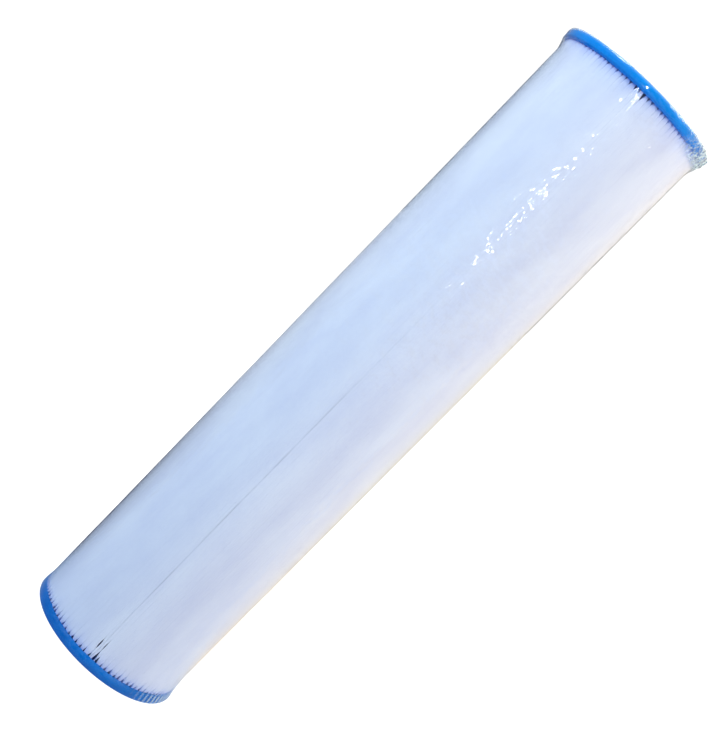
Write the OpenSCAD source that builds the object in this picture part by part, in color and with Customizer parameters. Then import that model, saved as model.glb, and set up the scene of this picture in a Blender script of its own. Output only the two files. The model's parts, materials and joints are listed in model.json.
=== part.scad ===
// Open-ended pleated filter cartridge in clear shrink film, standing on its lower cap.
// The frame's origin is the centre of the bottom, and +Z runs up the cartridge's axis.

/* [Overall] */
// Length over both caps
length = 495; // [240:5:760]
// Diameter of the soft end caps
cap_d = 116; // [112:1:124]

/* [End caps] */
// Height of a cap's side wall
cap_h = 6.5; // [6:0.5:12]
// Depth of the annular seat that the pleats and the core stand in
seat_depth = 3.5; // [2:0.5:4]
// Radius of the rounded outer edge
cap_edge_r = 1.2; // [0.6:0.2:2.4]
// Diameter of the centre hole
bore_d = 28; // [20:1:32]
// Outer diameter of the sealing land round the hole
land_d = 54; // [46:1:60]
// Depth of the shallow dish between the sealing land and the rim
dish_depth = 0.8; // [0.2:0.1:1.4]
// Inner diameter of the raised rim
rim_d = 98; // [88:1:102]

/* [Pleats] */
// Number of pleats
pleats = 96; // [60:4:110]
// Diameter over the pleat tips
tip_d = 112; // [104:1:112]
// Diameter inside the pleat roots
root_d = 48; // [47:1:60]
// Thickness of the folded sheet
sheet_t = 0.5; // [0.3:0.05:0.6]
// Half width of a tip fold, to the middle of the sheet
tip_half = 0.95; // [0.7:0.05:1.1]
// Half width of a root fold, to the middle of the sheet
root_half = 0.36; // [0.3:0.02:0.4]
// Turn of the seam away from the front, in degrees towards +X
seam_turn = 1; // [-10:1:10]

/* [Core] */
// Inner diameter of the perforated core
core_id = 40; // [36:1:42]
// Outer diameter of the perforated core
core_od = 46; // [44:1:47]
// Windows round the core, an even number
window_columns = 12; // [8:2:14]
// Rows of windows in each half of the core
window_rows = 15; // [4:1:18]
// Width of a window
window_w = 7.5; // [4:0.5:8]
// Height of a window
window_h = 10; // [4:0.5:12]
// Plain band between an end of a core half and its first row of windows
window_margin = 6; // [4:1:10]
// Length of the spigot that joins the two halves
spigot_l = 8; // [5:1:12]

/* [Shrink film] */
// Thickness given to the film, which is far thinner on the real one
film_t = 0.25; // [0.2:0.05:0.3]
// Gap between the film and what it covers
film_gap = 0.1; // [0.05:0.05:0.15]
// Length over which the film runs down from a cap's rim to the pleats
tent_l = 12; // [6:1:24]
// Inner diameter of the film's open ends
film_hole_d = 107; // [104:1:110]

/* [Hidden] */
$fn = 96;

cap_r = cap_d / 2;
tip_r = tip_d / 2;
root_r = root_d / 2;
floor_t = cap_h - seat_depth;
pack_l = length - 2 * floor_t;
pitch_angle = 360 / pleats;
face_angle = -90 + seam_turn;
// Share of a tip's half width that is taken by its rounded shoulder
tip_round = 0.45;

// Cutting bodies run on past the faces that they cut
over = 1;

// The seat is this much wider than what stands in it
seat_play = 0.2;
// The film lies this deep in the margin outside the raised rim
margin_depth = 0.4;
margin_d = 106;

// Sheet: the bead stands this deep in the opened tip, with this play on each side
bead_depth = 2.6;
bead_play = 0.05;

// Core: the joint between the halves has this much clearance on the radius
joint_play = 0.1;
spigot_r = (core_id + core_od) / 4;
core_half = pack_l / 2;
window_band = core_half - spigot_l - window_margin;
window_pitch = window_band / window_rows;

tent_steps = 8;

// A point at radius r whose tangential offset from the ray at angle a is x
function polar_offset(r, a, x) = [r * cos(a) - x * sin(a), r * sin(a) + x * cos(a)];

// Half the pleat pitch, as a length at radius r
function half_pitch(r) = r * sin(pitch_angle / 2);

// One side of the sheet round pleat i: up one leg, over the tip and down the other leg.
// grow is half the sheet's thickness outside the pleat, and minus half of it inside.
function pleat_side(i, grow) =
    let (a = face_angle + i * pitch_angle,
         r_tip = tip_r - sheet_t / 2 + grow,
         r_root = root_r + sheet_t / 2 + grow,
         x_tip = tip_half + grow,
         x_root = half_pitch(r_root) - root_half + grow)
    [polar_offset(r_root, a, -x_root),
     polar_offset(r_tip - tip_round * x_tip, a, -x_tip),
     polar_offset(r_tip, a, -tip_round * x_tip),
     polar_offset(r_tip, a, tip_round * x_tip),
     polar_offset(r_tip - tip_round * x_tip, a, x_tip),
     polar_offset(r_root, a, x_root)];

// Half of the opened pleat, where the sheet's two edges end inside the tip
function open_leg(side, grow) =
    let (a = face_angle,
         r_root = root_r + sheet_t / 2 + grow,
         x_root = half_pitch(r_root) - root_half + grow,
         leg = [polar_offset(r_root, a, side * x_root),
                polar_offset(tip_r, a, side * (tip_half + grow))])
    side > 0 ? [leg[1], leg[0]] : leg;

// The whole sheet in plan, from one edge of the seam round to the other
function sheet_side(grow) =
    concat(open_leg(1, grow),
           [for (i = [1 : pleats - 1]) each pleat_side(i, grow)],
           open_leg(-1, grow));

function reversed(list) = [for (i = [len(list) - 1 : -1 : 0]) list[i]];

module sheet_plan() {
    polygon(concat(sheet_side(sheet_t / 2), reversed(sheet_side(-sheet_t / 2))));
}

module ring(r_out, r_in, h) {
    difference() {
        cylinder(r = r_out, h = h);
        translate([0, 0, -over]) cylinder(r = r_in, h = h + 2 * over);
    }
}

// A cap in profile, outer face at z = 0 and pleats above it
module cap_profile() {
    edge_top = margin_depth + cap_edge_r;
    difference() {
        union() {
            translate([bore_d / 2, 0]) square([margin_d / 2 - bore_d / 2, cap_h]);
            translate([margin_d / 2 - over, margin_depth])
                square([cap_r - cap_edge_r - margin_d / 2 + over, cap_h - margin_depth]);
            translate([cap_r - cap_edge_r - over, edge_top])
                square([cap_edge_r + over, cap_h - edge_top]);
            translate([cap_r - cap_edge_r, edge_top]) circle(r = cap_edge_r);
        }
        translate([land_d / 2, -over]) square([(rim_d - land_d) / 2, dish_depth + over]);
        translate([core_id / 2 - seat_play, floor_t])
            square([tip_r - core_id / 2 + 2 * seat_play, cap_h]);
    }
}

module end_cap() {
    rotate_extrude() cap_profile();
}

module top_end_cap() {
    color("dodgerblue") translate([0, 0, length]) mirror([0, 0, 1]) end_cap();
}

module bottom_end_cap() {
    color("dodgerblue") end_cap();
}

module pleated_media() {
    color("lavender") translate([0, 0, floor_t]) linear_extrude(pack_l) sheet_plan();
}

module media_seam_bead() {
    bead_w = 2 * (tip_half - sheet_t / 2 - bead_play);
    // The legs close in below the tip, so the bead is a little narrower than the slot at the tip
    bead_taper = 0.1;
    color("gainsboro") rotate([0, 0, seam_turn]) translate([0, -tip_r, floor_t])
        translate([-(bead_w - bead_taper) / 2, 0, 0])
            cube([bead_w - bead_taper, bead_depth, pack_l]);
}

// Windows in rings, each box cutting two opposite windows
module windows(z_first) {
    for (row = [0 : window_rows - 1])
        for (column = [0 : window_columns / 2 - 1])
            rotate([0, 0, column * 360 / window_columns])
                translate([-core_od, -window_w / 2, z_first + row * window_pitch])
                    cube([2 * core_od, window_w, window_h]);
}

module core_lower_section() {
    color("whitesmoke") translate([0, 0, floor_t]) {
        difference() {
            ring(core_od / 2, core_id / 2, core_half);
            windows(window_margin);
        }
        translate([0, 0, core_half - over])
            ring(spigot_r - joint_play / 2, core_id / 2, spigot_l + over);
    }
}

module core_upper_section() {
    color("whitesmoke") translate([0, 0, floor_t + core_half]) {
        difference() {
            ring(core_od / 2, core_id / 2, core_half);
            translate([0, 0, -over])
                cylinder(r = spigot_r + joint_play / 2, h = spigot_l + over + joint_play);
            windows(core_half - window_margin - (window_rows - 1) * window_pitch - window_h);
        }
    }
}

// Half of the film's outside in profile, from the open end at the bottom to mid length.
// inset moves the outline towards the cartridge, so the same function gives both faces.
function film_tent(inset) =
    [for (i = [0 : tent_steps])
        let (t = i / tent_steps)
        [tip_r + (cap_r - tip_r) * pow(1 - t, 2) + film_gap + film_t - inset, cap_h + t * tent_l]];

function film_outline(inset) =
    let (r = cap_r + film_gap + film_t - inset,
         z = margin_depth - film_gap - film_t + inset,
         edge = cap_edge_r + film_gap + film_t - inset)
    concat([[film_hole_d / 2, z]],
           [for (a = [-90 : 15 : 0]) [r - edge + edge * cos(a), z + edge + edge * sin(a)]],
           film_tent(inset));

module film_half() {
    rotate_extrude()
        polygon(concat(film_outline(0),
                       [[tip_r + film_gap + film_t, length / 2], [tip_r + film_gap, length / 2]],
                       reversed(film_outline(film_t))));
}

module shrink_film() {
    color("azure", 0.3) {
        film_half();
        translate([0, 0, length]) mirror([0, 0, 1]) film_half();
    }
}

top_end_cap();
bottom_end_cap();
pleated_media();
media_seam_bead();
core_lower_section();
core_upper_section();
shrink_film();
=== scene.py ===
"""Looks for the pleated filter cartridge: soft blue caps, folded felt, a perforated core and clear film.

Everything is in metres, in the CAD frame: the cartridge stands on z = 0 with its axis on +Z.
An angle phi runs round the axis from the side that faces the camera, -Y, towards +X.
"""

import json
import math

import bpy
import numpy as np
from mathutils import Matrix, Vector, noise


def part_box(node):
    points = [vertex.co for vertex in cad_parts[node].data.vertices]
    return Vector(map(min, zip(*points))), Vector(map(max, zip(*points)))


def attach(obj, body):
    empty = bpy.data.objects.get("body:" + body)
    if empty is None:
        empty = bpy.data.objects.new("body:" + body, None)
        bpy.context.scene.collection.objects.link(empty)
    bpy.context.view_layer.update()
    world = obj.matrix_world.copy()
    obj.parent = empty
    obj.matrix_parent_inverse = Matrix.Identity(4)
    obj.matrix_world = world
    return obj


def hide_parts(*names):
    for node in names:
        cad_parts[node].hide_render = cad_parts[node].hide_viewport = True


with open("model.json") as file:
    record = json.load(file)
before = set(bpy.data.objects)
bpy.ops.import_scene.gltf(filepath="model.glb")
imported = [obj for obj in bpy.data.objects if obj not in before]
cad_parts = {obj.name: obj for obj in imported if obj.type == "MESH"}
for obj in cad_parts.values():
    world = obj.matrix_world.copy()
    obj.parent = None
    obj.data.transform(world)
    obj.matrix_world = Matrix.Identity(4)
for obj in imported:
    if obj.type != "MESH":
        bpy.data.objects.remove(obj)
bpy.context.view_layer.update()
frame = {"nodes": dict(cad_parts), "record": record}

MM = 0.001


# ---------------------------------------------------------------- the cartridge's own sizes, from the frame

cap_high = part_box("bottom_end_cap")[1]
top_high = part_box("top_end_cap")[1]
media_low, media_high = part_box("pleated_media")
core_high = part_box("core_lower_section")[1]

LENGTH = top_high.z
CAP_R = cap_high.x
CAP_H = cap_high.z
TIP_R = media_high.x
CORE_R = core_high.x
PACK_LOW = media_low.z
PACK_HIGH = media_high.z
mounts = {m["name"]: m for m in frame["record"]["mounts"]}
BORE_R = mounts["top_bore"]["dims"]["r_mm"] * MM

PLEATS = 96
PITCH = 2 * math.pi / PLEATS
SHEET_T = 0.5 * MM
ROOT_R = CORE_R + 1.0 * MM
SEAM_PHI = math.radians(1.0)


# ---------------------------------------------------------------- small helpers

def clamp01(x):
    return np.clip(x, 0.0, 1.0)


def smooth(x):
    x = clamp01(x)
    return x * x * (3 - 2 * x)


def bump_at(x, centre, half_width):
    """1 at centre, falling smoothly to 0 at half_width either side."""
    return smooth(1 - np.abs(x - centre) / half_width)


def field(points, scale, seed=0.0, octaves=3):
    """Fractal noise, about -1 to 1, at an array of points; scale is its cell. Both are in metres."""
    flat = np.asarray(points, float).reshape(-1, 3) / scale + seed * 17.31
    values = [noise.fractal(Vector(p), 0.6, 2.0, octaves) for p in flat]
    return np.array(values).reshape(np.asarray(points).shape[:-1])


def around(r, phi, z):
    """Points at radius r, angle phi from the facing side and height z, as an array of x, y, z."""
    r, phi, z = np.broadcast_arrays(r, phi, z)
    return np.stack([r * np.sin(phi), -r * np.cos(phi), z], axis=-1)


def new_object(name, vertices, faces, material, smooth_shade=True):
    mesh = bpy.data.meshes.new(name)
    mesh.from_pydata(vertices.tolist(), [], faces)
    mesh.validate()
    mesh.update()
    if smooth_shade:
        mesh.shade_smooth()
    mesh.materials.append(material)
    obj = bpy.data.objects.new(name, mesh)
    bpy.context.scene.collection.objects.link(obj)
    return obj


def grid_faces(rows, columns, close_columns, first=0, flip=False):
    faces = []
    last = columns if close_columns else columns - 1
    for i in range(rows - 1):
        for j in range(last):
            k = (j + 1) % columns
            quad = [first + i * columns + j, first + i * columns + k,
                    first + (i + 1) * columns + k, first + (i + 1) * columns + j]
            faces.append(quad[::-1] if flip else quad)
    return faces


def grid_normals(grid, close_columns):
    """Unit normals of a rows x columns grid of points, from central differences."""
    along = np.gradient(grid, axis=0)
    if close_columns:
        across = np.roll(grid, -1, axis=1) - np.roll(grid, 1, axis=1)
    else:
        across = np.gradient(grid, axis=1)
    normal = np.cross(across, along)
    return normal / np.maximum(np.linalg.norm(normal, axis=-1, keepdims=True), 1e-12)


def shell(name, grid, thickness, close_columns, material):
    """A thin closed solid whose outer face is the grid, thickened against its normals."""
    rows, columns = grid.shape[:2]
    inner = grid - grid_normals(grid, close_columns) * thickness
    count = rows * columns
    vertices = np.concatenate([grid.reshape(-1, 3), inner.reshape(-1, 3)])
    faces = grid_faces(rows, columns, close_columns)
    faces += grid_faces(rows, columns, close_columns, first=count, flip=True)
    last = columns if close_columns else columns - 1
    for j in range(last):
        k = (j + 1) % columns
        faces.append([k, j, count + j, count + k])
        top = (rows - 1) * columns
        faces.append([top + j, top + k, count + top + k, count + top + j])
    if not close_columns:
        for i in range(rows - 1):
            a, b = i * columns, (i + 1) * columns
            faces.append([a, b, count + b, count + a])
            a, b = a + columns - 1, b + columns - 1
            faces.append([b, a, count + a, count + b])
    return new_object(name, vertices, faces, material)


def point_attribute(obj, name, values):
    """A per-point number that a material reads with an Attribute node."""
    attribute = obj.data.attributes.new(name, "FLOAT", "POINT")
    attribute.data.foreach_set("value", np.asarray(values, np.float32).ravel())


# ---------------------------------------------------------------- materials

class Nodes:
    """A short way to write a node tree."""

    def __init__(self, name):
        self.material = bpy.data.materials.new(name)
        self.material.use_nodes = True
        self.tree = self.material.node_tree
        self.tree.nodes.clear()
        self.output = self.tree.nodes.new("ShaderNodeOutputMaterial")

    def add(self, kind, **settings):
        node = self.tree.nodes.new("ShaderNode" + kind)
        for key, value in settings.items():
            if key in node.inputs:
                node.inputs[key].default_value = value
            else:
                setattr(node, key, value)
        return node

    def link(self, source, target):
        self.tree.links.new(source, target)

    def coordinates(self, scale=(1, 1, 1)):
        place = self.add("TexCoord")
        mapping = self.add("Mapping")
        mapping.inputs["Scale"].default_value = scale
        self.link(place.outputs["Object"], mapping.inputs["Vector"])
        return mapping.outputs["Vector"]

    def noise(self, vector, scale, detail=3.0, roughness=0.5):
        node = self.add("TexNoise", Scale=scale, Detail=detail, Roughness=roughness)
        self.link(vector, node.inputs["Vector"])
        return node.outputs["Fac"]

    def ramp(self, fac, stops):
        node = self.add("ValToRGB")
        elements = node.color_ramp.elements
        while len(elements) < len(stops):
            elements.new(0.5)
        for element, (position, colour) in zip(elements, stops):
            element.position = position
            element.color = (*colour, 1)
        self.link(fac, node.inputs["Fac"])
        return node.outputs["Color"]

    def maths(self, operation, a, b, clamp=False):
        node = self.add("Math", operation=operation, use_clamp=clamp)
        for socket, value in zip(node.inputs, (a, b)):
            if isinstance(value, (int, float)):
                socket.default_value = value
            else:
                self.link(value, socket)
        return node.outputs[0]

    def remap(self, value, low, high, to_low, to_high):
        node = self.add("MapRange")
        for key, number in (("From Min", low), ("From Max", high), ("To Min", to_low), ("To Max", to_high)):
            node.inputs[key].default_value = number
        self.link(value, node.inputs["Value"])
        return node.outputs["Result"]

    def bump(self, height, strength, distance, normal=None):
        node = self.add("Bump", Strength=strength, Distance=distance)
        self.link(height, node.inputs["Height"])
        if normal is not None:
            self.link(normal, node.inputs["Normal"])
        return node.outputs["Normal"]

    def blend(self, fac, first, second, kind="MIX"):
        """Blends two colours; each is an output socket or three numbers."""
        node = self.add("Mix", data_type="RGBA", blend_type=kind)
        self.link(fac, node.inputs["Factor"])
        sockets = [socket for socket in node.inputs if socket.type == "RGBA"]
        for socket, colour in zip(sockets, (first, second)):
            if isinstance(colour, tuple):
                socket.default_value = (*colour, 1)
            else:
                self.link(colour, socket)
        return [socket for socket in node.outputs if socket.type == "RGBA"][0]

    def finish(self, shader):
        self.link(shader, self.output.inputs["Surface"])
        return self.material


def vinyl_material(name, dark, light):
    """Soft moulded vinyl: saturated blue with faint cloudiness, a soft gloss and tiny mould pits."""
    n = Nodes(name)
    place = n.coordinates()
    clouds = n.noise(place, 90, 4)
    pits = n.noise(place, 2600, 2)
    body = n.add("BsdfPrincipled", **{"IOR": 1.5, "Specular IOR Level": 0.06})
    n.link(n.ramp(clouds, [(0.3, dark), (0.7, light)]), body.inputs["Base Color"])
    n.link(n.remap(n.noise(place, 420, 3), 0.3, 0.7, 0.24, 0.42), body.inputs["Roughness"])
    coarse = n.bump(clouds, 0.25, 0.4 * MM)
    n.link(n.bump(pits, 0.25, 0.04 * MM, coarse), body.inputs["Normal"])
    return n.finish(body.outputs["BSDF"])


def felt_material():
    """Spunbond polyester: white with a faint lavender cast, fine fibres laid mostly along the pleats."""
    n = Nodes("felt")
    fibres = n.noise(n.coordinates((1, 1, 0.25)), 3200, 4, 0.65)
    cross = n.noise(n.coordinates((1, 1, 0.6)), 1300, 3, 0.6)
    blotches = n.noise(n.coordinates((1, 1, 0.3)), 60, 3)
    weave = n.maths("ADD", n.maths("MULTIPLY", fibres, 0.3), n.maths("MULTIPLY", cross, 0.3))
    tone = n.maths("ADD", weave, n.maths("MULTIPLY", blotches, 0.4))
    body = n.add("BsdfPrincipled", **{"Roughness": 0.85, "IOR": 1.45, "Specular IOR Level": 0.25,
                                       "Sheen Weight": 0.12, "Sheen Roughness": 0.5})
    white = n.ramp(tone, [(0.38, (0.81, 0.82, 0.92)), (0.60, (0.94, 0.95, 0.99))])
    # painted shade: the felt turns darker and bluer near each cap, standing for the caps' shadow and the
    # blue light they throw back
    painted_cap_shade = n.add("Attribute", attribute_name="painted_cap_shade").outputs["Fac"]
    n.link(n.blend(painted_cap_shade, white, (0.34, 0.47, 0.92), "MULTIPLY"), body.inputs["Base Color"])
    n.link(n.remap(cross, 0.3, 0.7, 0.75, 0.95), body.inputs["Roughness"])
    grain = n.bump(cross, 0.3, 0.12 * MM)
    n.link(n.bump(fibres, 0.35, 0.06 * MM, grain), body.inputs["Normal"])
    return n.finish(body.outputs["BSDF"])


def core_material():
    """Natural polypropylene, moulded: milky white with faint flow streaks."""
    n = Nodes("polypropylene")
    streaks = n.noise(n.coordinates((1, 1, 0.15)), 260, 4)
    grain = n.noise(n.coordinates(), 1900, 2)
    body = n.add("BsdfPrincipled", **{"IOR": 1.49})
    milky = n.ramp(streaks, [(0.3, (0.70, 0.72, 0.74)), (0.7, (0.83, 0.84, 0.85))])
    n.link(milky, body.inputs["Base Color"])
    n.link(n.remap(grain, 0.3, 0.7, 0.35, 0.55), body.inputs["Roughness"])
    n.link(n.bump(grain, 0.2, 0.05 * MM), body.inputs["Normal"])
    return n.finish(body.outputs["BSDF"])


def hot_melt_material():
    """Hot-melt adhesive, milky, with a soft irregular skin."""
    n = Nodes("hot_melt")
    lumps = n.noise(n.coordinates((1, 1, 0.4)), 500, 3)
    body = n.add("BsdfPrincipled", **{"IOR": 1.5})
    n.link(n.ramp(lumps, [(0.3, (0.62, 0.66, 0.74)), (0.7, (0.74, 0.78, 0.86))]), body.inputs["Base Color"])
    n.link(n.remap(lumps, 0.3, 0.7, 0.3, 0.5), body.inputs["Roughness"])
    n.link(n.bump(lumps, 0.4, 0.2 * MM), body.inputs["Normal"])
    return n.finish(body.outputs["BSDF"])


def film_material():
    """Clear shrink film: see-through, glossy, dimpled all over and milky where it has puckered, with
    painted shade in its deepest creases and painted highlights on the foot's ribs and the upper lip.
    """
    n = Nodes("shrink_film")
    dimples = n.noise(n.coordinates((1, 1, 0.8)), 190, 2, 0.45)
    wrinkles = n.noise(n.coordinates((1, 1, 0.5)), 900, 3, 0.55)
    creases = n.noise(n.coordinates((1, 1, 0.45)), 900, 4, 0.7)
    pucker = n.add("Attribute", attribute_name="pucker").outputs["Fac"]

    base = n.bump(dimples, 1.0, 0.8 * MM)
    fine = n.bump(wrinkles, 0.35, 0.03 * MM, base)
    creased = n.maths("MULTIPLY", creases, pucker)
    normal = n.bump(creased, 1.0, 0.8 * MM, fine)

    clear = n.add("BsdfTransparent")
    # painted shade: in the deepest creases of the puckers the see-through colour turns slate blue
    crease_shade = n.maths("MULTIPLY", n.remap(creases, 0.38, 0.45, 1.0, 0.0), pucker, clamp=True)
    n.link(n.blend(crease_shade, (0.965, 0.975, 0.99), (0.45, 0.56, 0.72)), clear.inputs["Color"])
    gloss = n.add("BsdfGlossy", Color=(1, 1, 1, 1), Roughness=0.07)
    n.link(n.remap(pucker, 0, 1, 0.08, 0.2), gloss.inputs["Roughness"])
    n.link(normal, gloss.inputs["Normal"])
    # Schlick's rule from the facing ratio, which is the same on both faces of the film
    facing = n.add("LayerWeight", Blend=0.5)
    n.link(n.bump(creased, 1.0, 0.8 * MM), facing.inputs["Normal"])
    grazing = n.maths("POWER", facing.outputs["Facing"], 5.0)
    mirror = n.maths("ADD", n.maths("MULTIPLY", grazing, 0.96), 0.022)
    surface = n.add("MixShader")
    n.link(mirror, surface.inputs[0])
    n.link(clear.outputs[0], surface.inputs[1])
    n.link(gloss.outputs[0], surface.inputs[2])

    # The cyan-white milk layer stands for creased film in the puckers, and is a painted highlight on the
    # ribs at the foot and along the upper lip
    milk = n.add("BsdfDiffuse", Color=(0.82, 0.98, 1.0, 1))
    n.link(normal, milk.inputs["Normal"])
    flecks = n.remap(creases, 0.46, 0.58, 0.0, 1.0)
    milky = n.maths("MULTIPLY", n.maths("MULTIPLY", flecks, pucker), 0.95, clamp=True)
    painted_highlight = n.add("Attribute", attribute_name="painted_highlight").outputs["Fac"]
    milk_and_highlight = n.maths("ADD", milky, n.maths("MULTIPLY", painted_highlight, 0.4), clamp=True)
    result = n.add("MixShader")
    n.link(milk_and_highlight, result.inputs[0])
    n.link(surface.outputs[0], result.inputs[1])
    n.link(milk.outputs[0], result.inputs[2])
    return n.finish(result.outputs[0])


FLOOR_BOUNCE = 3.7


def floor_material():
    """Plain pale floor, lit from beneath. What it throws back at the object is dimmer on the left and
    bluer in front, and darkest straight behind, as if cards stood there."""
    n = Nodes("floor")
    body = n.add("BsdfPrincipled", **{"Roughness": 0.8, "Specular IOR Level": 0.1, "Emission Strength": 1.0,
                                       "Emission Color": (1, 1, 1, 1)})
    n.link(n.ramp(n.noise(n.coordinates(), 12, 3), [(0.3, (0.23, 0.23, 0.23)), (0.7, (0.25, 0.25, 0.25))]),
           body.inputs["Base Color"])
    sides = n.add("SeparateXYZ")
    n.link(n.coordinates(), sides.inputs[0])
    across = n.remap(sides.outputs["X"], -0.06, 0.06, 0.0, 1.0)
    behind = n.remap(sides.outputs["Y"], -0.03, 0.08, 0.0, 1.0)
    near_colour = n.ramp(across, [(0.0, (0.06, 0.10, 0.17)), (1.0, (0.12, 0.17, 0.25))])
    far_colour = n.ramp(across, [(0.0, (0.01, 0.01, 0.02)), (0.6, (0.01, 0.01, 0.02)),
                                  (1.0, (0.25, 0.22, 0.18))])
    distant = n.remap(sides.outputs["Y"], 0.2, 1.0, 0.0, 1.0)
    last_colour = n.ramp(across, [(0.0, (0.12, 0.13, 0.15)), (0.3, (0.01, 0.02, 0.04)),
                                   (0.7, (0.01, 0.01, 0.02)), (1.0, (0.23, 0.21, 0.17))])
    bounce = n.add("Emission", Strength=FLOOR_BOUNCE)
    n.link(n.blend(distant, n.blend(behind, near_colour, far_colour), last_colour), bounce.inputs["Color"])
    mix = n.add("MixShader")
    n.link(n.add("LightPath").outputs["Is Camera Ray"], mix.inputs[0])
    n.link(bounce.outputs[0], mix.inputs[1])
    n.link(body.outputs[0], mix.inputs[2])
    return n.finish(mix.outputs[0])


# ---------------------------------------------------------------- end caps

CAP_COLUMNS = PLEATS * 6
# How far the side wall has rounded in, by height above the outer face, in millimetres. The lower cap has
# a long shoulder, and the upper cap a short one and a slightly swollen wall.
LOW_SHOULDER = [(2.2, 0.0), (2.9, 0.05), (3.6, 0.20), (4.3, 0.46), (5.0, 0.86), (5.6, 1.30), (6.1, 1.70)]
HIGH_SHOULDER = [(2.2, -0.5), (3.6, -0.5), (4.6, -0.42), (5.2, -0.3), (5.6, -0.1), (5.9, 0.25), (6.1, 0.8)]


# The part of the lower cap, measured in from its outside, that the tight film can press in
SQUEEZED = 2.4 * MM


def cap_profile(edge, margin, shoulder):
    """The cap in profile from the bore's inner edge, out over the face, down the side wall and back over
    the potting, as (radius, height from the outer face) in millimetres."""
    cap_r, height, bore = CAP_R / MM, CAP_H / MM, BORE_R / MM
    points = [(bore, height), (bore, 1.0), (bore + 0.25, 0.35), (bore + 0.8, 0.05), (bore + 1.5, 0.0),
              (20.5, 0.0), (25.8, 0.0), (26.6, 0.12), (27.3, 0.6), (28.2, 0.8),
              (34.0, 0.8), (41.0, 0.8), (47.6, 0.8), (48.5, 0.6), (49.2, 0.12), (50.0, 0.0),
              (51.6, 0.0), (52.6, 0.0), (53.1, 0.3 * margin), (53.6, 0.9 * margin), (54.4, margin)]
    for step in range(0, 7):
        turn = math.radians(15 * step)
        points.append((cap_r - edge + edge * math.sin(turn), margin + edge - edge * math.cos(turn)))
    points += [(cap_r - drop, h) for h, drop in shoulder]
    points += [(cap_r - 1.95, height - 0.02), (cap_r - 2.15, height - 0.3), (cap_r - 2.6, height - 0.9),
               (52.0, height - 1.3),
               (40.0, height - 1.4), (26.0, height - 1.4), (23.2, height - 1.3), (22.0, height - 1.5),
               (20.2, height - 1.2), (19.4, height - 0.2), (18.6, height), (16.0, height)]
    return np.array(points) * MM


def cap_reach(h, shoulder):
    """The cap's radius at heights h above its outer face, from the middle of the side wall upwards."""
    heights, drops = np.array(shoulder).T * MM
    return CAP_R - np.interp(h, heights, drops, right=9 * MM)


def low_squeeze(phi, z):
    """How far the tight film presses the lower cap's wall in, in metres: most on the left."""
    degrees = np.degrees(np.angle(np.exp(1j * phi)))
    left = 1.4 * bump_at(degrees, -96, 64)
    right = 0.7 * bump_at(degrees, 98, 60) * smooth((z - 1.0 * MM) / (3 * MM))
    return (left + right) * MM


def make_cap(node, material, seed):
    lower = node == "bottom_end_cap"
    profile = cap_profile(0.8, 0.2, LOW_SHOULDER) if lower else cap_profile(1.1, 0.25, HIGH_SHOULDER)
    rows = len(profile)
    phi = np.arange(CAP_COLUMNS) * 2 * math.pi / CAP_COLUMNS + SEAM_PHI
    r = np.repeat(profile[:, :1], CAP_COLUMNS, axis=1)
    h = np.repeat(profile[:, 1:], CAP_COLUMNS, axis=1)

    # The vinyl climbs a little round each pleat tip, in uneven scallops
    wick = np.exp(-((r - (CAP_R - 1.8 * MM)) / (0.7 * MM)) ** 2) * (h > CAP_H - 1.0 * MM)
    phase = (phi - SEAM_PHI) / PITCH
    pleat = np.abs(np.sin(math.pi * (phase + 0.5)))
    uneven = field(around(CAP_R, phi, seed), 9 * MM, seed)
    h = h + wick * (0.30 * pleat + 0.22 * uneven)[None, :] * MM

    # The side wall swells and dips slightly
    wall = (r > CAP_R - 1.5 * MM) * (h > 1.6 * MM) * (h < CAP_H - 0.3 * MM)
    sway = field(around(CAP_R, phi, seed + 0.5), 14 * MM, seed)
    r = r + wall * 0.06 * MM * sway[None, :]

    if lower:
        r = r - (r > CAP_R - SQUEEZED) * low_squeeze(phi[None, :], h)

    z = h if lower else LENGTH - h
    grid = around(r, phi[None, :], z)
    flip = not lower
    faces = grid_faces(rows, CAP_COLUMNS, True, flip=flip)
    top = (rows - 1) * CAP_COLUMNS
    for j in range(CAP_COLUMNS):
        k = (j + 1) % CAP_COLUMNS
        quad = [top + j, top + k, k, j]
        faces.append(quad[::-1] if flip else quad)
    cap = new_object(node + "_vinyl", grid.reshape(-1, 3), faces, material)
    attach(cap, "root")
    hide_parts(node)
    return cap


# ---------------------------------------------------------------- pleated media

# Each pleat's tip is a flattened arc, drawn through these turns; a power of 2 would make it round
TIP_TURNS = np.radians([-90, -62, -36, -12, 12, 36, 62, 90])
TIP_POWER = 2.6


def lower_half(z):
    """1 over the lower half, where the seam's slit shows, and 0 elsewhere."""
    return smooth((z - 0.10 * LENGTH) / (0.03 * LENGTH)) * smooth((0.56 * LENGTH - z) / (0.08 * LENGTH))


def pleat_levels():
    """Heights of the rings that the sheet is lofted through: close together where the pleats splay."""
    near = np.array([0.0, 1.4, 2.4, 3.0, 3.5, 4.0, 4.6, 5.3, 6.1, 7.0, 8.2, 9.6, 11.4, 13.5, 16.0, 19.0,
                     23.0, 28.0, 34.0]) * MM
    middle = np.linspace(PACK_LOW + 42 * MM, PACK_HIGH - 42 * MM, 14)
    return np.concatenate([PACK_LOW + near, middle, (PACK_HIGH - near)[::-1]])


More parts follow.
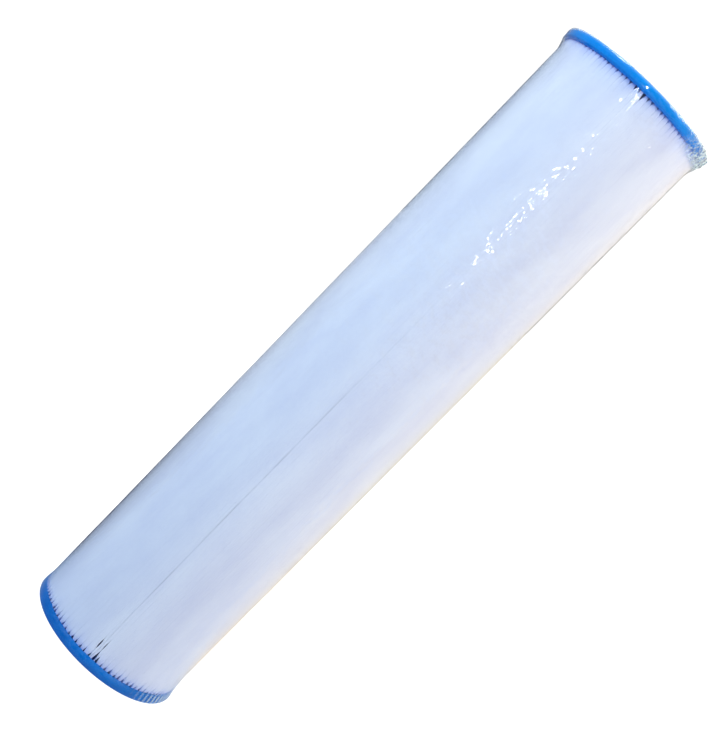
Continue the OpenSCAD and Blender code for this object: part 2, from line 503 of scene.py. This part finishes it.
def groove_layout(levels, rng):
    """Angle and half width of the groove after each pleat, at each level."""
    index = np.arange(PLEATS)
    z = levels[:, None]
    wander = np.zeros((len(levels), PLEATS))
    for period, size in ((0.31, 0.30), (0.13, 0.16), (0.05, 0.05)):
        phase = rng.uniform(0, 2 * math.pi, PLEATS)
        stretch = rng.uniform(0.8, 1.25, PLEATS)
        wander += size * MM * np.sin(2 * math.pi * z / (period * stretch) + phase)
    wander += rng.normal(0, 0.12, PLEATS) * MM
    # the two grooves beside the seam lean the same way at the foot
    wander[:, [PLEATS - 1, 0]] += 0.95 * MM * smooth(1 - z / (70 * MM))
    angle = SEAM_PHI + (index + 0.5) * PITCH + wander / TIP_R

    low_gap = (z - CAP_H) / MM
    high_gap = (LENGTH - CAP_H - z) / MM
    low_length = rng.uniform(1.5, 4.5, PLEATS)
    high_length = rng.uniform(1.0, 2.8, PLEATS)
    low_width = rng.uniform(0.45, 1.0, PLEATS)
    high_width = rng.uniform(0.30, 0.75, PLEATS)
    low_length[0], low_width[0] = 8.0, 1.10
    low_length[1], low_width[1] = 4.5, 1.00
    high_length[0], high_width[0] = 5.0, 1.10
    opened = np.maximum(low_width * clamp01(1 - low_gap / low_length) ** 0.8,
                        high_width * clamp01(1 - high_gap / high_length) ** 0.8)
    # two longer partings near the foot, a little way above the cap
    for pleat, middle, reach, width in ((PLEATS - 1, 11.0, 5.5, 0.55), (0, 12.5, 5.0, 0.32)):
        opened[:, pleat] = np.maximum(opened[:, pleat], (width * bump_at(low_gap, middle, reach))[:, 0])
    shut = 0.004 + 0.004 * (1 + np.sin(9 * index + 60 * z))
    return angle, np.maximum(opened, shut) * MM


def tip_points(centre, half, r_tip, corner, r_root, root_half):
    """One pleat's outline at every level: root, round the tip, root. Only the root values are the same at
    every level."""
    across = np.sign(np.sin(TIP_TURNS)) * np.abs(np.sin(TIP_TURNS)) ** (2 / TIP_POWER)
    height = np.abs(np.cos(TIP_TURNS)) ** (2 / TIP_POWER)
    r = r_tip[:, None] - corner[:, None] * (1 - height[None, :])
    phi = centre[:, None] + half[:, None] * across[None, :] / TIP_R
    root = np.full((len(centre), 1), r_root)
    swing = root_half / r_root
    middle = np.round((centre[:, None] - SEAM_PHI) / PITCH) * PITCH + SEAM_PHI
    return (np.concatenate([root, r, root], axis=1),
            np.concatenate([middle - swing, phi, middle + swing], axis=1))


def make_media(material):
    rng = np.random.default_rng(41)
    levels = pleat_levels()
    count = len(levels)
    groove, gap = groove_layout(levels, rng)
    height = rng.normal(0, 0.012, PLEATS)
    end_gap = np.minimum(levels - CAP_H, LENGTH - CAP_H - levels)
    splay = clamp01(1 - end_gap / (8 * MM)) ** 1.5
    sway = rng.uniform(0, 2 * math.pi, PLEATS)
    outer_r, outer_phi, inner_r, inner_phi = [], [], [], []
    root_out = ROOT_R + SHEET_T
    for i in range(PLEATS + 1):
        pleat = i % PLEATS
        before = groove[:, pleat - 1] - (2 * math.pi if pleat == 0 else 0)
        left = before + gap[:, pleat - 1] / TIP_R
        right = groove[:, pleat] - gap[:, pleat] / TIP_R
        centre = (left + right) / 2
        half = (right - left) / 2 * TIP_R
        tip = TIP_R + (height[pleat] + 0.015 * np.sin(levels * 38 + sway[pleat]) - 0.08) * MM
        corner = (0.05 + 0.03 * np.sin(levels * 55 + 2 * sway[pleat]) + 0.55 * splay) * MM
        turn = 2 * math.pi if i == PLEATS else 0
        out_r, out_phi = tip_points(centre, half, tip, corner, root_out, 0.69 * MM)
        in_r, in_phi = tip_points(centre, half - SHEET_T, tip - SHEET_T, corner * 0.7, ROOT_R, 0.175 * MM)
        if i in (0, PLEATS):
            # The opened pleat, one half at each end of the outline, cut back from the slit
            side = 1 if i == 0 else -1
            keep = slice(5, None) if i == 0 else slice(0, 5)
            slit = (0.08 + 0.15 * lower_half(levels)) * MM
            edge_phi = (centre + side * slit / 2 / TIP_R)[:, None]
            edge = (tip[:, None], edge_phi, (tip - SHEET_T)[:, None], edge_phi)
            parts = [out_r[:, keep], out_phi[:, keep], in_r[:, keep], in_phi[:, keep]]
            joined = [np.concatenate([e, p] if i == 0 else [p, e], axis=1) for e, p in zip(edge, parts)]
            out_r, out_phi, in_r, in_phi = joined
        outer_r.append(out_r)
        outer_phi.append(out_phi + turn)
        inner_r.append(in_r)
        inner_phi.append(in_phi + turn)
    outer_r, outer_phi = np.concatenate(outer_r, axis=1), np.concatenate(outer_phi, axis=1)
    inner_r, inner_phi = np.concatenate(inner_r, axis=1), np.concatenate(inner_phi, axis=1)
    columns = outer_r.shape[1]
    outer = around(outer_r, outer_phi, levels[:, None])
    inner = around(inner_r, inner_phi, levels[:, None])
    # the ring runs out along the outside and back along the inside
    ring = np.concatenate([outer, inner[:, ::-1]], axis=1)
    total = ring.shape[1]
    faces = grid_faces(count, total, True)
    for level, flip in ((0, True), (count - 1, False)):
        first = level * total
        for j in range(columns - 1):
            quad = [first + j, first + j + 1, first + total - 2 - j, first + total - 1 - j]
            faces.append(quad[::-1] if flip else quad)
    media = new_object("pleated_felt", ring.reshape(-1, 3), faces, material)
    # painted shade: darker and bluer within a few millimetres of each cap, reaching unevenly up the felt
    from_cap = np.minimum(ring[..., 2] - CAP_H, LENGTH - CAP_H - ring[..., 2]) / MM
    shade_reach = 1 + 0.5 * field(ring * np.array([1, 1, 0.3]), 6 * MM, 6.0)
    from_cap = np.maximum(from_cap, 0)
    painted_cap_shade = 0.75 * np.exp(-from_cap / (2.4 * shade_reach)) + 0.12 * np.exp(-from_cap / 14)
    point_attribute(media, "painted_cap_shade", clamp01(painted_cap_shade))
    media.data.set_sharp_from_angle(angle=math.radians(75))
    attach(media, "root")
    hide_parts("pleated_media")
    return media


def make_seam_bead(material):
    """Hot melt pressed between the sheet's two edges: it fills the slit, but lies deeper here and there
    over the lower half, where the slit shows as a broken line."""
    levels = np.linspace(PACK_LOW, PACK_HIGH, 240)
    turns = np.linspace(0, 2 * math.pi, 10, endpoint=False)
    place = around(TIP_R, SEAM_PHI, levels)
    thick = 0.40 + 0.08 * field(place, 11 * MM, 3.0)
    hollow = smooth(0.55 + 2.2 * field(place, 7 * MM, 5.0))
    depth = 0.74 + 1.5 * lower_half(levels) * hollow
    phi = SEAM_PHI + thick[:, None] * MM * np.sin(turns) / TIP_R
    r = TIP_R - (depth[:, None] - 0.7 * np.cos(turns)) * MM
    ring = around(r, phi, levels[:, None])
    rows, columns = ring.shape[:2]
    faces = grid_faces(rows, columns, True)
    faces.append(list(range(columns))[::-1])
    faces.append([(rows - 1) * columns + j for j in range(columns)])
    bead = new_object("seam_hot_melt", ring.reshape(-1, 3), faces, material)
    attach(bead, "root")
    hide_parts("media_seam_bead")
    return bead


# ---------------------------------------------------------------- shrink film

FILM_T = 0.05 * MM
FILM_COLUMNS = PLEATS * 6
FILM_GAP = 0.14 * MM
# the film's radius along the body, just clear of the pleat tips
BODY_R = TIP_R + FILM_GAP
# how far from each end the film follows the body rather than the cap's rim
RIM_REACH = 3.1 * MM


def film_stations():
    """The film's rest outline as (radius, height) in metres, from the lower open end to the upper."""
    low = [(53.9, 0.12), (55.4, 0.10), (57.2, 0.12), (57.9, 0.34), (58.15, 1.0), (58.15, 2.2)]
    low = [(r * MM, z * MM) for r, z in low]
    steps = np.concatenate([np.full(19, 1.1), np.linspace(1.3, 7.6, 17)]) * MM
    near = 2.1 * MM + np.cumsum(steps)
    middle = np.linspace(near[-1], LENGTH - near[-1], 14)[1:-1]
    heights = np.concatenate([near, middle, LENGTH - near[::-1]])
    body = [(BODY_R, z) for z in heights]
    loose = [(58.85, -2.2), (58.75, -1.0), (58.45, -0.1), (57.8, 0.55), (57.1, 0.85), (56.2, 0.75),
             (55.1, 0.40), (54.0, 0.12), (53.0, 0.05)]
    high = [(r * MM, LENGTH + z * MM) for r, z in loose]
    return np.array(low + body + high)


def make_film(material):
    stations = film_stations()
    phi = np.arange(FILM_COLUMNS) * 2 * math.pi / FILM_COLUMNS + SEAM_PHI
    r = np.repeat(stations[:, :1], FILM_COLUMNS, axis=1)
    z = np.repeat(stations[:, 1:], FILM_COLUMNS, axis=1)
    p = np.broadcast_to(phi[None, :], r.shape)

    # Tents: from each cap's wall the film runs almost straight to the pleats, in a shorter way on one side,
    # and never inside the cap's own shoulder
    low_tent = (11.5 + 5.0 * np.sin(p)) * MM
    high_tent = np.interp(np.sin(p), [-1, -0.2, 0.5, 1], [8.0, 16.0, 18.0, 12.0]) * MM
    high_start = np.interp(np.sin(p), [-1, -0.2], [6.5, 4.0]) * MM
    on_body = (z > RIM_REACH) & (z < LENGTH - RIM_REACH)
    pressed = low_squeeze(p, z)
    low_line = BODY_R + (CAP_R - TIP_R - pressed) * (1 - clamp01((z - 3 * MM) / low_tent)) ** 1.3
    low_hug = np.maximum(cap_reach(z, LOW_SHOULDER) + FILM_GAP - pressed, BODY_R)
    high_rise = CAP_R - TIP_R + 0.5 * MM
    high_line = BODY_R + high_rise * (1 - clamp01((LENGTH - z - high_start) / high_tent)) ** 1.3
    high_hug = cap_reach(LENGTH - z, HIGH_SHOULDER) + 0.25 * MM
    r = np.where(on_body, np.maximum.reduce([r, low_line, low_hug, high_line, high_hug]), r)
    r = np.where((z <= RIM_REACH) & (r > CAP_R - SQUEEZED), r - pressed, r)

    # Between the pleat tips the film sinks a little
    middle = smooth((z - CAP_H) / (12 * MM)) * smooth((LENGTH - CAP_H - z) / (12 * MM))
    between = 0.5 - 0.5 * np.cos(2 * math.pi * (p - SEAM_PHI) / PITCH)
    r = r - on_body * middle * 0.02 * MM * between

    # Slack: long shallow waves over the whole length
    points = around(r, p, z)
    slow = field(points * np.array([1, 1, 0.45]), 16 * MM, 1.0, 2)
    r = r + on_body * middle * 0.09 * MM * slow

    # Puckers: where the film was gathered it is creased along the axis
    side = np.angle(np.exp(1j * p))
    degrees = np.degrees(side)
    top_pucker = clamp01(1.5 * bump_at(degrees, 88, 56)) * smooth((z - (LENGTH - 13 * MM)) / (6 * MM))
    low_pucker = bump_at(degrees, 68, 34) * smooth(((11 * MM) - z) / (5 * MM))
    back_pucker = bump_at(np.abs(degrees), 176, 30) * smooth((z - (LENGTH - 14 * MM)) / (9 * MM))
    rim_pucker = 0.002 * smooth((z - (LENGTH - 9 * MM)) / (4 * MM))
    crease = field(points * np.array([1, 1, 0.35]), 3.0 * MM, 2.0, 3)
    ribs = np.sin(degrees * 2 * math.pi / 4.2)
    low_milk = low_pucker * (0.05 + 0.05 * ribs)
    pucker = clamp01(np.maximum.reduce([top_pucker, low_milk, back_pucker, rim_pucker]))
    lift = np.maximum(top_pucker, back_pucker) * (0.30 + 0.6 * crease)
    lift = lift + low_pucker * (0.22 + 0.22 * ribs + 0.1 * crease)
    off_floor = smooth((z - 0.6 * MM) / (1.5 * MM))
    r = r + off_floor * lift * MM

    # The loose corner: a baggy bulge hanging over the upper rim
    bag = bump_at(degrees, 90, 13) * smooth((z - (LENGTH - 16 * MM)) / (9 * MM))
    r = r + bag * (0.4 + 0.5 * crease) * MM

    # Over the upper rim the film lies tight on the left, and stands looser towards the right
    loose = np.interp(degrees, [-60, -40, 0, 20, 50, 85, 120, 180],
                      [0.25, 0.4, 0.4, 0.6, 1.0, 1.5, 1.2, 1.0])
    loose = np.where(degrees < -120, np.interp(degrees, [-180, -120], [1.0, 0.25]), loose)
    z = np.where(z > LENGTH, LENGTH + (z - LENGTH) * loose, z)

    # The open ends were cut by heat and are not quite round
    ragged = field(around(CAP_R, phi, 0.0), 7 * MM, 4.0)
    for row, reach in ((0, 0.5), (1, 0.2), (-1, 1.0), (-2, 0.5)):
        r[row] += reach * ragged * MM
    grid = around(r, p, z)
    film = shell("film_sleeve", grid, FILM_T, True, material)
    point_attribute(film, "pucker", np.concatenate([pucker.ravel(), pucker.ravel()]))
    # painted highlight: milky ribs at the foot, and a milky line where the film turns over the upper rim,
    # stand for light caught on them
    painted_highlight = low_pucker * clamp01(ribs) * smooth((9 * MM - z) / (3 * MM))
    lip_highlight = smooth((z - (LENGTH - 1.5 * MM)) / (0.9 * MM)) * smooth((r - 56 * MM) / MM)
    painted_highlight = np.maximum(painted_highlight, lip_highlight * (0.28 + 0.10 * slow))
    point_attribute(film, "painted_highlight", np.concatenate([painted_highlight.ravel(), painted_highlight.ravel()]))
    return film


def make_film_ear(material):
    """Spare film gathered at the upper rim: a crumpled fin that stands off the corner."""
    along = np.linspace(0, 1, 34)
    across = np.linspace(0, 1, 40)
    u, v = np.meshgrid(across, along)
    fold = 1 - np.abs(2 * u - 1)
    down = v * 11
    foot = np.interp(down, [0, 5, 11], [CAP_R / MM, CAP_R / MM, TIP_R / MM + 0.2])
    reach = np.interp(down, [0, 2.5, 5, 7.5, 11], [2.6, 2.2, 1.6, 0.6, 0.05]) * fold ** 0.7
    phi = math.radians(88) + (u - 0.5) * math.radians(3.2)
    base = around((foot + reach) * MM, phi, LENGTH - down * MM)
    crumple = field(base, 2.6 * MM, 7.0, 4)
    crumple_z = field(base, 2.2 * MM, 9.0, 4)
    phi = phi + crumple * fold * 2.2 * MM / CAP_R
    reach = reach * (1 + 0.30 * crumple_z * fold)
    grid = around((foot + reach) * MM, phi, LENGTH + (0.3 - down + 0.9 * crumple_z * fold) * MM)
    ear = shell("film_ear", grid, FILM_T, False, material)
    count = 2 * grid.shape[0] * grid.shape[1]
    point_attribute(ear, "pucker", np.full(count, 0.9))
    point_attribute(ear, "painted_highlight", np.zeros(count))
    return ear


def join(objects):
    bpy.ops.object.select_all(action="DESELECT")
    for obj in objects:
        obj.select_set(True)
    bpy.context.view_layer.objects.active = objects[0]
    bpy.ops.object.join()
    return objects[0]


# ---------------------------------------------------------------- build

felt = felt_material()
polypropylene = core_material()
# The two caps are one vinyl: the lower cap's darker colours are painted shade, the upper cap's lighter
# colours painted light
make_cap("bottom_end_cap", vinyl_material("vinyl_lower_painted_shade", (0.0, 0.135, 0.50), (0.0, 0.165, 0.57)), 11.0)
make_cap("top_end_cap", vinyl_material("vinyl_upper_painted_light", (0.0, 0.27, 0.77), (0.0, 0.31, 0.85)), 23.0)
make_media(felt)
make_seam_bead(hot_melt_material())
for section in ("core_lower_section", "core_upper_section"):
    for slot in frame["nodes"][section].material_slots:
        slot.material = polypropylene

clear_film = film_material()
film = join([make_film(clear_film), make_film_ear(clear_film)])
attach(film, "root")
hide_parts("shrink_film")


# ---------------------------------------------------------------- floor, lights and camera

floor = new_object("floor", np.array([[-30, -30, 0], [30, -30, 0], [30, 30, 0], [-30, 30, 0]], float),
                   [[0, 1, 2, 3]], floor_material(), smooth_shade=False)


def area_light(name, place, aim, size, power, colour):
    """A square light at place, turned towards aim, with its side in metres and its power in watts."""
    data = bpy.data.lights.new(name, "AREA")
    data.shape = "SQUARE"
    data.size = size
    data.energy = power
    data.color = colour
    light = bpy.data.objects.new(name, data)
    bpy.context.scene.collection.objects.link(light)
    place, aim = Vector(place), Vector(aim)
    light.location = place
    light.rotation_euler = (aim - place).to_track_quat("-Z", "Y").to_euler()
    return light


# Light from the studio by direction: degrees from the camera's side towards +X, and the colour there.
# This list, and the first places, powers and colours of upper_left and upper_right, came from a scratch
# program's least-squares fits to the photograph's colours. They were rounded and changed, but the stops
# from -120 to 125 are still as they were set after the last fit.
STUDIO = [(-180, (0.01, 0.02, 0.04)), (-171, (0.03, 0.05, 0.09)), (-160, (0.22, 0.25, 0.30)),
          (-140, (0.13, 0.16, 0.22)), (-120, (0.16, 0.19, 0.21)), (-95, (0.15, 0.16, 0.17)),
          (-55, (0.05, 0.05, 0.06)), (0, (0.04, 0.04, 0.05)), (55, (0.05, 0.05, 0.05)),
          (95, (0.24, 0.21, 0.17)), (125, (0.58, 0.50, 0.40)), (150, (0.78, 0.71, 0.62)),
          (168, (0.28, 0.27, 0.25))]
STUDIO_LEVEL = 1.6


def studio_world():
    """White behind the object; the light that reaches it changes with direction."""
    world = bpy.data.worlds.new("studio")
    bpy.context.scene.world = world
    world.use_nodes = True
    tree = world.node_tree
    tree.nodes.clear()

    def add(kind, *sources, **settings):
        node = tree.nodes.new("ShaderNode" + kind)
        for key, value in settings.items():
            setattr(node, key, value)
        for socket, source in zip(node.inputs, sources):
            if isinstance(source, (int, float)):
                socket.default_value = source
            elif source is not None:
                tree.links.new(source, socket)
        return node

    x, y, z = add("SeparateXYZ", add("TexCoord").outputs["Generated"]).outputs
    back = add("Math", y, -1.0, operation="MULTIPLY").outputs[0]
    azimuth = add("Math", x, back, operation="ARCTAN2").outputs[0]
    turn = add("Math", azimuth, 2 * math.pi, operation="DIVIDE").outputs[0]
    ramp = add("ValToRGB", add("Math", turn, 0.5, operation="ADD").outputs[0])
    stops = STUDIO + [(180, STUDIO[0][1])]
    elements = ramp.color_ramp.elements
    while len(elements) < len(stops):
        elements.new(0.5)
    for element, (degrees, colour) in zip(elements, stops):
        element.position = degrees / 360 + 0.5
        element.color = (*colour, 1)
    lift = add("Math", z, 0.6 * STUDIO_LEVEL, operation="MULTIPLY").outputs[0]
    strength = add("Math", lift, 0.8 * STUDIO_LEVEL, operation="ADD").outputs[0]
    glow = add("Background", ramp.outputs["Color"], strength)
    white = add("Background")
    white.inputs["Color"].default_value = (1, 1, 1, 1)
    # just over 1, so that the wall behind is white in the picture
    white.inputs["Strength"].default_value = 1.05
    camera_ray = add("LightPath").outputs["Is Camera Ray"]
    mix = add("MixShader", camera_ray, glow.outputs[0], white.outputs[0])
    add("OutputWorld", mix.outputs[0])


studio_world()
area_light("upper_left", (-1.28, -1.00, 1.55), (0, 0, 0.25), 1.0, 36.2, (0.89, 0.98, 1.0))
area_light("upper_right", (1.42, -0.76, 1.55), (0, 0, 0.25), 1.0, 34.8, (0.99, 0.88, 0.73))
area_light("upper_back", (0.0, 1.60, 1.50), (0, 0, 0.25), 1.0, 29, (0.95, 0.97, 1.0))
area_light("flash", (0.0, -0.8145, 0.4225), (0, 0, 0.38), 0.035, 0.42, (1.0, 1.0, 1.0))

scene = bpy.context.scene
scene.view_settings.view_transform = "Standard"
scene.view_settings.look = "None"

# The camera stands level with the upper part of the cartridge, about 0.8 m off, looking slightly down,
# and is rolled so that the cartridge lies across the frame from lower left to upper right.
camera_data = bpy.data.cameras.new("camera")
camera_data.sensor_width = 36
camera_data.lens = 62.45
camera_data.clip_start = 0.01
camera = bpy.data.objects.new("camera", camera_data)
scene.collection.objects.link(camera)
scene.camera = camera

CAMERA_RANGE = 0.816
CAMERA_HEIGHT = 0.707 * LENGTH
CAMERA_DIP = math.radians(6.80)
CAMERA_PAN = math.radians(0.29)
CAMERA_ROLL = math.radians(45.6)

forward = Vector((-math.sin(CAMERA_PAN) * math.cos(CAMERA_DIP), math.cos(CAMERA_PAN) * math.cos(CAMERA_DIP),
                  -math.sin(CAMERA_DIP)))
level_right = forward.cross(Vector((0, 0, 1))).normalized()
level_up = level_right.cross(forward)
right = math.cos(CAMERA_ROLL) * level_up + math.sin(CAMERA_ROLL) * level_right
up = math.sin(CAMERA_ROLL) * level_up - math.cos(CAMERA_ROLL) * level_right
camera.matrix_world = Matrix.Translation((0, -CAMERA_RANGE, CAMERA_HEIGHT)) @ Matrix(
    (right, up, -forward)).transposed().to_4x4()
